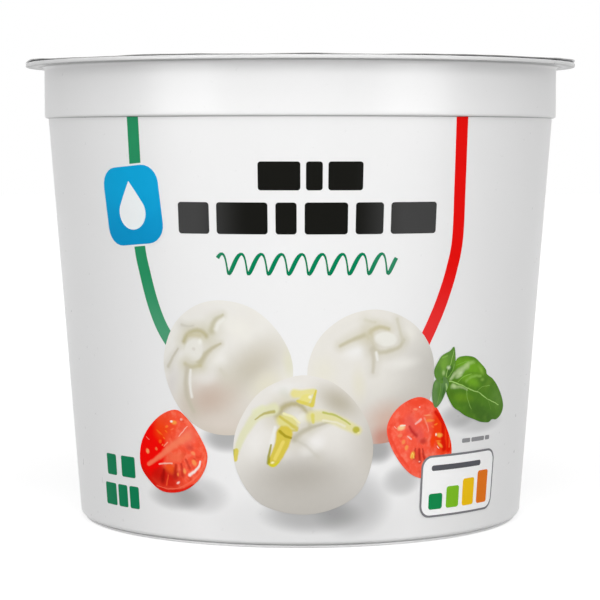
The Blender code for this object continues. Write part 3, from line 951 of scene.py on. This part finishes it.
def right_tomato():
    view = View("tomato_right", (255, 92, 68), 0.4)
    view.mottle(0.9, 0.45, 0.7, (255, 144, 118), 0.5)
    view.mottle(0.6, 0.5, 0.75, (232, 56, 34), 0.5)
    view.oval((4.4, 0.8), (2.95, 5.37), (250, 62, 16), 1.0, 12, 0.55)
    view.line([(2.6, 5.2), (4.6, 2.9), (5.7, 0.1), (5.8, -2.3)], (0.57, 0.74), (244, 34, 4), 1.0, 0.4)
    view.line([(2.6, 4.0), (4.2, 2.1), (4.4, 0.0), (4.8, -2.1)], (0.43, 0.66), (224, 16, 2), 0.9, 0.3)
    view.line([(5.0, 2.4), (5.8, 0.1), (5.9, -1.9)], (0.23, 0.26), (255, 108, 54), 0.8, 0.1)
    view.oval((-0.7, 5.8), (3.36, 1.02), (250, 74, 46), 0.9, 0, 0.2)
    view.line([(-5.8, 2.2), (-6.0, 0.8), (-4.5, -2.1), (-2.3, -4.8)], (0.5, 0.37), (248, 74, 52), 0.8, 0.2)
    view.oval((-2.2, 2.3), (1.66, 2.64), (240, 92, 84), 0.75, 20, 0.2)
    view.oval((-0.4, 0.5), (1.22, 1.85), (238, 92, 86), 0.7, 10, 0.2)
    view.line([(-2.4, 1.9), (-1.9, 1.2), (-1.0, 0.4)], (0.34, 0.59), (196, 44, 44), 0.9)
    view.oval((0.4, -0.6), (0.97, 0.74), (206, 60, 50), 0.9, 0, 0.2)
    view.oval((-0.8, -2.9), (1.47, 1.64), (222, 62, 46), 0.7, 0, 0.2)
    view.line([(-0.4, -1.9), (-0.1, -3.9)], (0.39, 0.48), (184, 34, 24), 0.9)
    view.line([(0.3, -1.9), (0.8, -3.6)], (0.27, 0.41), (190, 36, 26), 0.85)
    view.line([(-1.1, -1.7), (-1.3, -3.3)], (0.27, 0.41), (200, 44, 34), 0.8)
    view.oval((1.2, 3.1), (1.5, 0.82), (252, 110, 66), 0.85, 30, 0.2)
    view.oval((2.3, -0.8), (0.77, 1.64), (255, 66, 8), 0.9, 0, 0.3)
    view.oval((-3.9, 1.8), (1.0, 0.61), (255, 206, 150), 1.0, 10, 0.3)
    view.oval((-4.1, 0.6), (0.74, 0.45), (252, 132, 96), 1.0, 0, 0.3)
    view.oval((-3.4, -0.5), (0.49, 0.53), (253, 144, 84), 1.0, -10, 0.3)
    view.oval((-2.8, -1.5), (0.49, 0.59), (255, 156, 84), 1.0, -20, 0.3)
    view.oval((-1.6, -2.8), (0.56, 0.94), (255, 178, 64), 1.0, -12, 0.3)
    view.line([(-1.9, -3.2), (-1.6, -2.4), (-1.3, -3.3)], (0.12, 0.12), (255, 214, 110), 0.9, 0.2)
    view.oval((2.8, 2.0), (0.62, 0.2), (255, 134, 40), 0.9, 10, 0.3)
    view.oval((2.1, 1.6), (0.41, 0.18), (255, 120, 60), 0.85, -20, 0.3)
    view.line([(0.4, 3.1), (1.0, 2.0), (1.4, 1.0)], (0.27, 0.17), (255, 158, 136), 0.7)
    view.oval((1.0, 3.6), (1.0, 0.18), (255, 156, 110), 0.95, 0, 0.3)
    view.oval((1.5, 2.7), (1.24, 0.35), (255, 140, 66), 1.0, 0, 0.3)
    view.oval((3.6, 0.2), (0.95, 0.53), (255, 172, 70), 1.0, -10, 0.3)
    view.oval((3.8, -1.4), (0.93, 0.37), (255, 164, 62), 1.0, -35, 0.3)
    view.oval((3.5, -0.8), (0.77, 0.21), (255, 138, 46), 0.95, 0, 0.3)
    view.oval((-1.4, 4.7), (0.54, 0.28), (255, 152, 116), 0.9, 0, 0.3)
    view.line([(-4.0, 2.1), (-3.2, 2.1)], (0.2, 0.2), (255, 240, 226), 0.9, 0.1)
    view.oval((2.9, 0.3), (0.21, 0.35), (255, 240, 226), 0.95, 0, 0.3)
    view.oval((3.5, -1.8), (0.48, 0.12), (255, 238, 226), 0.95, -40, 0.3)
    view.line([(-2.6, 0.3), (-2.0, -0.1)], (0.2, 0.24), (255, 208, 200), 0.8, 0.1)
    view.line([(-1.3, 2.3), (-0.3, 2.9)], (0.24, 0.34), (255, 200, 190), 0.8, 0.1)
    view.oval((-0.6, 5.0), (0.22, 0.16), (255, 220, 212), 0.9, 0, 0.2)
    view.line([(-5.2, 2.1), (-4.8, 1.8)], (0.12, 0.12), (255, 190, 176), 0.8, 0.2)
    view.oval((-0.2, -3.9), (0.25, 0.16), (255, 214, 204), 0.9, 0, 0.2)
    view.oval((5.2, -3.1), (0.44, 0.19), (255, 150, 120), 0.9, 0, 0.2)
    return view.printed(0.05)


def large_leaf():
    view = View("leaf_large", (84, 132, 36), 0.4)
    view.oval((4.3, 2.6), (6.94, 2.27), (121, 177, 41), 0.9, -15, 0.1)
    view.oval((4.6, 0.2), (4.27, 1.24), (126, 184, 43), 0.8, -22, 0.1)
    view.oval((3.3, -2.6), (3.56, 1.23), (115, 160, 37), 0.8, -10, 0.1)
    view.oval((8.4, -5.7), (8.13, 2.1), (70, 111, 35), 0.9, -25, 0.2)
    view.oval((13.0, -3.2), (3.82, 2.54), (100, 145, 55), 0.8, -10, 0.1)
    view.oval((9.3, -0.8), (2.88, 1.04), (107, 151, 45), 0.7, 25, 0.1)
    view.oval((0.4, -2.0), (1.37, 1.44), (83, 124, 29), 0.7)
    view.line(
        [(0.9, 4.1), (4.2, 4.3), (7.1, 3.3), (9.0, 1.5), (12.7, -1.1)],
        (0.41, 0.41), (96, 151, 45), 0.7, 0.1,
    )
    view.oval((7.3, 1.8), (1.67, 0.62), (158, 203, 82), 0.7, -45)
    view.line([(-0.2, 0.4), (1.7, -0.1), (5.0, -1.3), (7.0, -2.1)], (0.9, 0.42), (85, 132, 29), 0.6)
    view.oval((2.3, 1.6), (1.55, 0.7), (209, 226, 177), 0.85, 30, 0.1)
    view.oval((2.0, 1.0), (1.13, 0.41), (194, 216, 157), 0.7, 10, 0.1)
    view.oval((4.3, 3.0), (1.99, 0.54), (169, 207, 116), 0.75, 10, 0.1)
    view.line([(0.2, 0.8), (1.7, 1.9), (3.8, 2.6)], (0.56, 0.83), (196, 217, 158), 0.75)
    view.line([(0.6, -0.6), (2.3, -0.7), (4.1, -1.3)], (0.56, 0.31), (188, 212, 148), 0.65)
    view.line([(3.7, 0.2), (5.1, 0.8), (7.4, 0.7)], (0.49, 0.36), (156, 200, 92), 0.6)
    view.oval((1.0, -0.5), (0.89, 0.53), (194, 220, 153), 0.8, -30, 0.1)
    view.oval((7.8, 0.1), (0.88, 0.42), (149, 190, 82), 0.6)
    view.line(
        [(-0.1, 0.4), (1.7, -0.1), (4.7, -1.2), (7.7, -2.3), (9.9, -3.4), (13.2, -4.6)],
        (0.15, 0.09), (177, 218, 122), 0.95, 0.3,
    )
    view.line([(1.7, 0.2), (3.0, 1.2), (4.8, 1.4), (6.7, 1.2)], (0.12, 0.09), (98, 149, 39), 0.9, 0.2)
    view.line([(1.9, 0.1), (3.2, 1.0), (4.9, 1.2)], (0.09, 0.09), (156, 203, 88), 0.8, 0.2)
    view.line([(4.0, -1.4), (4.3, -2.7), (5.4, -4.6)], (0.09, 0.09), (149, 192, 94), 0.85, 0.2)
    view.line([(6.7, -1.8), (7.9, -1.1), (10.0, -1.1)], (0.09, 0.09), (145, 190, 88), 0.85, 0.2)
    view.line([(1.3, 2.9), (3.4, 3.4), (5.6, 2.9)], (0.09, 0.09), (143, 192, 82), 0.7, 0.2)
    view.line([(9.6, -3.2), (10.9, -5.1)], (0.09, 0.06), (128, 171, 78), 0.7, 0.2)
    view.mottle(0.6, 0.5, 0.8, (132, 180, 66), 0.2)
    view.mottle(0.4, 0.45, 0.75, (62, 104, 30), 0.25)
    return view.printed(0.12)


def upper_leaf():
    view = View("leaf_upper", (96, 142, 58), 0.4)
    view.oval((0.1, 2.3), (1.55, 2.24), (124, 171, 64), 0.9, -25, 0.1)
    view.oval((1.8, 2.6), (1.08, 1.85), (98, 147, 49), 0.8, -15, 0.1)
    view.oval((-0.8, 1.3), (0.92, 1.63), (89, 136, 55), 0.8, 0, 0.1)
    view.oval((1.5, 1.1), (1.07, 1.31), (68, 111, 39), 0.9, -25, 0.4)
    view.line([(0.7, -0.2), (0.9, 1.0), (1.6, 2.4), (2.2, 4.4)], (0.12, 0.09), (169, 207, 114), 0.85, 0.2)
    view.oval((1.2, 1.7), (0.59, 0.49), (216, 233, 192), 0.85, -30, 0.1)
    view.oval((0.2, 0.9), (0.52, 0.62), (181, 209, 137), 0.7, 0, 0.1)
    view.line([(1.0, 0.0), (2.0, 1.0), (2.4, 2.2)], (0.12, 0.16), (130, 177, 76), 0.8, 0.2)
    view.oval((0.5, -0.1), (1.05, 0.41), (59, 98, 35), 0.8, 0, 0.1)
    view.line([(-0.2, 3.3), (0.8, 3.7)], (0.2, 0.2), (149, 194, 90), 0.7)
    return view.printed(0.12)


def lower_leaf():
    view = View("leaf_lower", (100, 138, 78), 0.4)
    view.oval((-0.3, -2.2), (1.03, 2.26), (89, 136, 55), 0.9, 5, 0.1)
    view.oval((0.5, -2.4), (0.47, 1.64), (59, 102, 43), 0.8, -8, 0.2)
    view.line([(1.0, -1.0), (1.2, -2.0), (0.8, -3.4)], (0.28, 0.19), (166, 203, 127), 0.9, 0.2)
    view.oval((-1.1, -0.9), (0.51, 0.82), (117, 160, 82), 0.7, 0, 0.1)
    view.line([(-0.1, -0.5), (-0.3, -2.4), (-0.7, -4.0)], (0.09, 0.09), (128, 171, 82), 0.7, 0.2)
    return view.printed(0.12)


# Name, finish, layer, the middle of its own coordinates, outline.
FOOD = [
    ("ball_left", left_ball, 1, (-12.2, 29.0),
     [(-13.3, 39.8), (-8.0, 38.8), (-3.8, 35.3), (-1.3, 30.2), (-1.9, 24.8), (-5.9, 20.2),
      (-11.6, 18.2), (-17.4, 19.3), (-21.6, 23.5), (-23.4, 29.3), (-21.6, 34.9), (-17.9, 38.4)]),
    ("ball_right", right_ball, 1, (11.9, 27.6),
     [(10.6, 38.3), (14.6, 37.9), (18.6, 35.9), (21.6, 32.6), (22.9, 28.6), (22.3, 23.4), (18.8, 18.6),
      (13.6, 16.8), (7.6, 17.7), (2.9, 22.2), (1.1, 28.0), (2.6, 33.3), (6.2, 36.8)]),
    ("ball_front", front_ball, 2, (0.5, 16.7),
     [(-0.8, 27.9), (3.2, 27.6), (5.9, 26.4), (8.9, 23.7), (11.3, 19.8), (12.2, 15.2), (10.4, 9.6),
      (6.0, 6.6), (-0.1, 5.6), (-6.6, 7.2), (-10.2, 11.4), (-11.2, 16.0), (-10.0, 20.6), (-6.4, 25.4)]),
    ("tomato_left", left_tomato, 3, (-22.8, 15.0),
     [(-21.6, 21.9), (-19.1, 20.4), (-16.9, 17.5), (-15.8, 14.4), (-17.3, 11.0), (-20.6, 8.7),
      (-24.9, 8.3), (-28.1, 10.2), (-29.7, 12.6), (-28.9, 16.5), (-25.5, 20.2)]),
    ("tomato_right", right_tomato, 3, (21.0, 17.4),
     [(20.6, 24.0), (23.5, 22.4), (26.3, 18.3), (27.5, 15.0), (26.8, 12.2), (24.2, 10.6), (21.3, 10.7),
      (18.6, 12.0), (15.9, 15.2), (14.5, 18.7), (15.3, 21.3), (17.6, 23.3)]),
    ("leaf_large", large_leaf, 3, (26.2, 25.9),
     [(25.2, 26.5), (26.6, 27.9), (27.5, 29.8), (29.1, 30.2), (31.4, 29.9), (33.1, 28.9), (34.8, 27.6),
      (35.2, 26.8), (37.0, 25.9), (38.7, 24.5), (40.3, 22.7), (41.1, 21.0), (40.5, 19.7), (39.0, 19.0),
      (37.6, 19.1), (36.5, 18.7), (34.2, 19.0), (32.4, 19.6), (30.3, 20.3), (28.7, 21.2), (27.2, 22.1),
      (25.7, 24.3)]),
    ("leaf_upper", upper_leaf, 4, (24.6, 26.8),
     [(26.8, 31.8), (25.9, 31.2), (24.3, 30.5), (23.3, 29.1), (22.9, 28.1), (23.2, 27.0), (24.4, 26.0),
      (26.1, 26.6), (27.1, 28.4), (27.2, 29.9)]),
    ("leaf_lower", lower_leaf, 4, (24.5, 26.8),
     [(23.1, 26.5), (22.7, 24.7), (22.9, 23.1), (23.5, 22.1), (24.5, 22.8), (25.4, 24.4), (26.0, 26.0),
      (24.8, 27.1)]),
]


def make_food():
    """The balls, the tomatoes and the leaves, each a skin of its own, laid over each other."""
    for name, finish, layer, centre, outline in FOOD:
        print_piece(outlined(smooth_loop(outline)), f"print_{name}", finish(), layer, centre)


# ---------------------------------------------------------------- the studio


WHITE = (1.0, 1.0, 1.0, 1.0)
AMBIENT = 0.121
LAMP_DISTANCE = 0.9
LAMP_AIM = Vector((0.0, 0.0, 0.04))  # the middle of the tub
# Name, azimuth, elevation, width, height and power.
LAMPS = [
    ("lamp_front", 0, 22, 0.65, 0.4, 2.4),
    ("lamp_high", 0, 40, 0.65, 0.4, 0.8),
    ("lamp_top", 0, 72, 0.8, 0.6, 3.03),
    ("strip_left", -50, 2.2, 0.5, 0.12, 1.7),
    ("strip_right", 50, 2.2, 0.5, 0.12, 1.7),
    ("side_left", -38, 22, 0.4, 0.5, 0.75),
    ("side_right", 38, 22, 0.4, 0.5, 0.75),
    ("lamp_back", 180, 55, 1.0, 0.5, 1.2),
]


def soft_lamp(name, azimuth, elevation, width, height, power):
    """A soft box aimed at the middle of the tub, at an azimuth to the right of the camera."""
    light = bpy.data.lights.new(name, "AREA")
    light.shape = "RECTANGLE"
    light.size, light.size_y, light.energy = width, height, power
    lamp = bpy.data.objects.new(name, light)
    turn, rise = math.radians(azimuth), math.radians(elevation)
    away = Vector((math.sin(turn) * math.cos(rise), -math.cos(turn) * math.cos(rise), math.sin(rise)))
    lamp.location = LAMP_AIM + away * LAMP_DISTANCE
    lamp.rotation_euler = away.to_track_quat("Z", "Y").to_euler()
    bpy.context.scene.collection.objects.link(lamp)


def seen_directly(nodes):
    """1 for rays from the camera, a reflection or clear glass, 0 for light on a surface."""
    kinds = ("Is Camera Ray", "Is Glossy Ray", "Is Transmission Ray")
    camera, glossy, clear = [nodes.node("ShaderNodeLightPath", out=kind) for kind in kinds]
    return camera.most(glossy).most(clear)


def make_sky():
    """White behind everything, and a weak even light on the tub."""
    world = bpy.data.worlds.new("studio")
    bpy.context.scene.world = world
    sky = Nodes(world)
    background = sky.tree.nodes["Background"]
    sky.feed(background.inputs["Color"], WHITE)
    sky.feed(background.inputs["Strength"], AMBIENT + seen_directly(sky) * (1.0 - AMBIENT))


def make_floor():
    """A wide round floor, grey to the light but seen as white, with the tub's shadow."""
    floor_shape = bmesh.new()
    bmesh.ops.create_circle(floor_shape, cap_ends=True, radius=2.5, segments=64)
    mesh = bpy.data.meshes.new("floor")
    floor_shape.to_mesh(mesh)
    floor_shape.free()
    floor = bpy.data.objects.new("floor", mesh)
    bpy.context.scene.collection.objects.link(floor)
    paint = Paint("floor")
    grey = (0.4, 0.4, 0.4, 1.0)
    paint.set(base_color=grey, roughness=0.9, specular_ior_level=0.0, emission_color=WHITE)
    x, y, _ = paint.split(paint.object_place())
    near, far = 0.06, 0.5
    glow = (x * x + y * y).root().rise(near, far) * 0.22 + 0.76
    paint.set(emission_strength=seen_directly(paint) * glow)
    mesh.materials.append(paint.material)


def make_lamps():
    """Soft boxes round the front, and a weak one behind."""
    for lamp in LAMPS:
        soft_lamp(*lamp)


def make_camera():
    """A long lens in front of the tub, looking a little down on it."""
    data = bpy.data.cameras.new("camera")
    data.sensor_width = 36.0
    data.lens = 137.47
    camera = bpy.data.objects.new("camera", data)
    camera.location = (-0.00005, -0.40006, 0.06444)
    tilt_down = 3.9
    camera.rotation_euler = (math.radians(90 - tilt_down), 0.0, 0.0)
    bpy.context.scene.collection.objects.link(camera)
    bpy.context.scene.camera = camera


bpy.context.scene.view_settings.view_transform = "Standard"
make_camera()
make_sky()
make_floor()
make_lamps()
make_tub()
make_lid()
make_stripes()
make_badge()
make_title()
make_food()
make_card()
make_small_print()
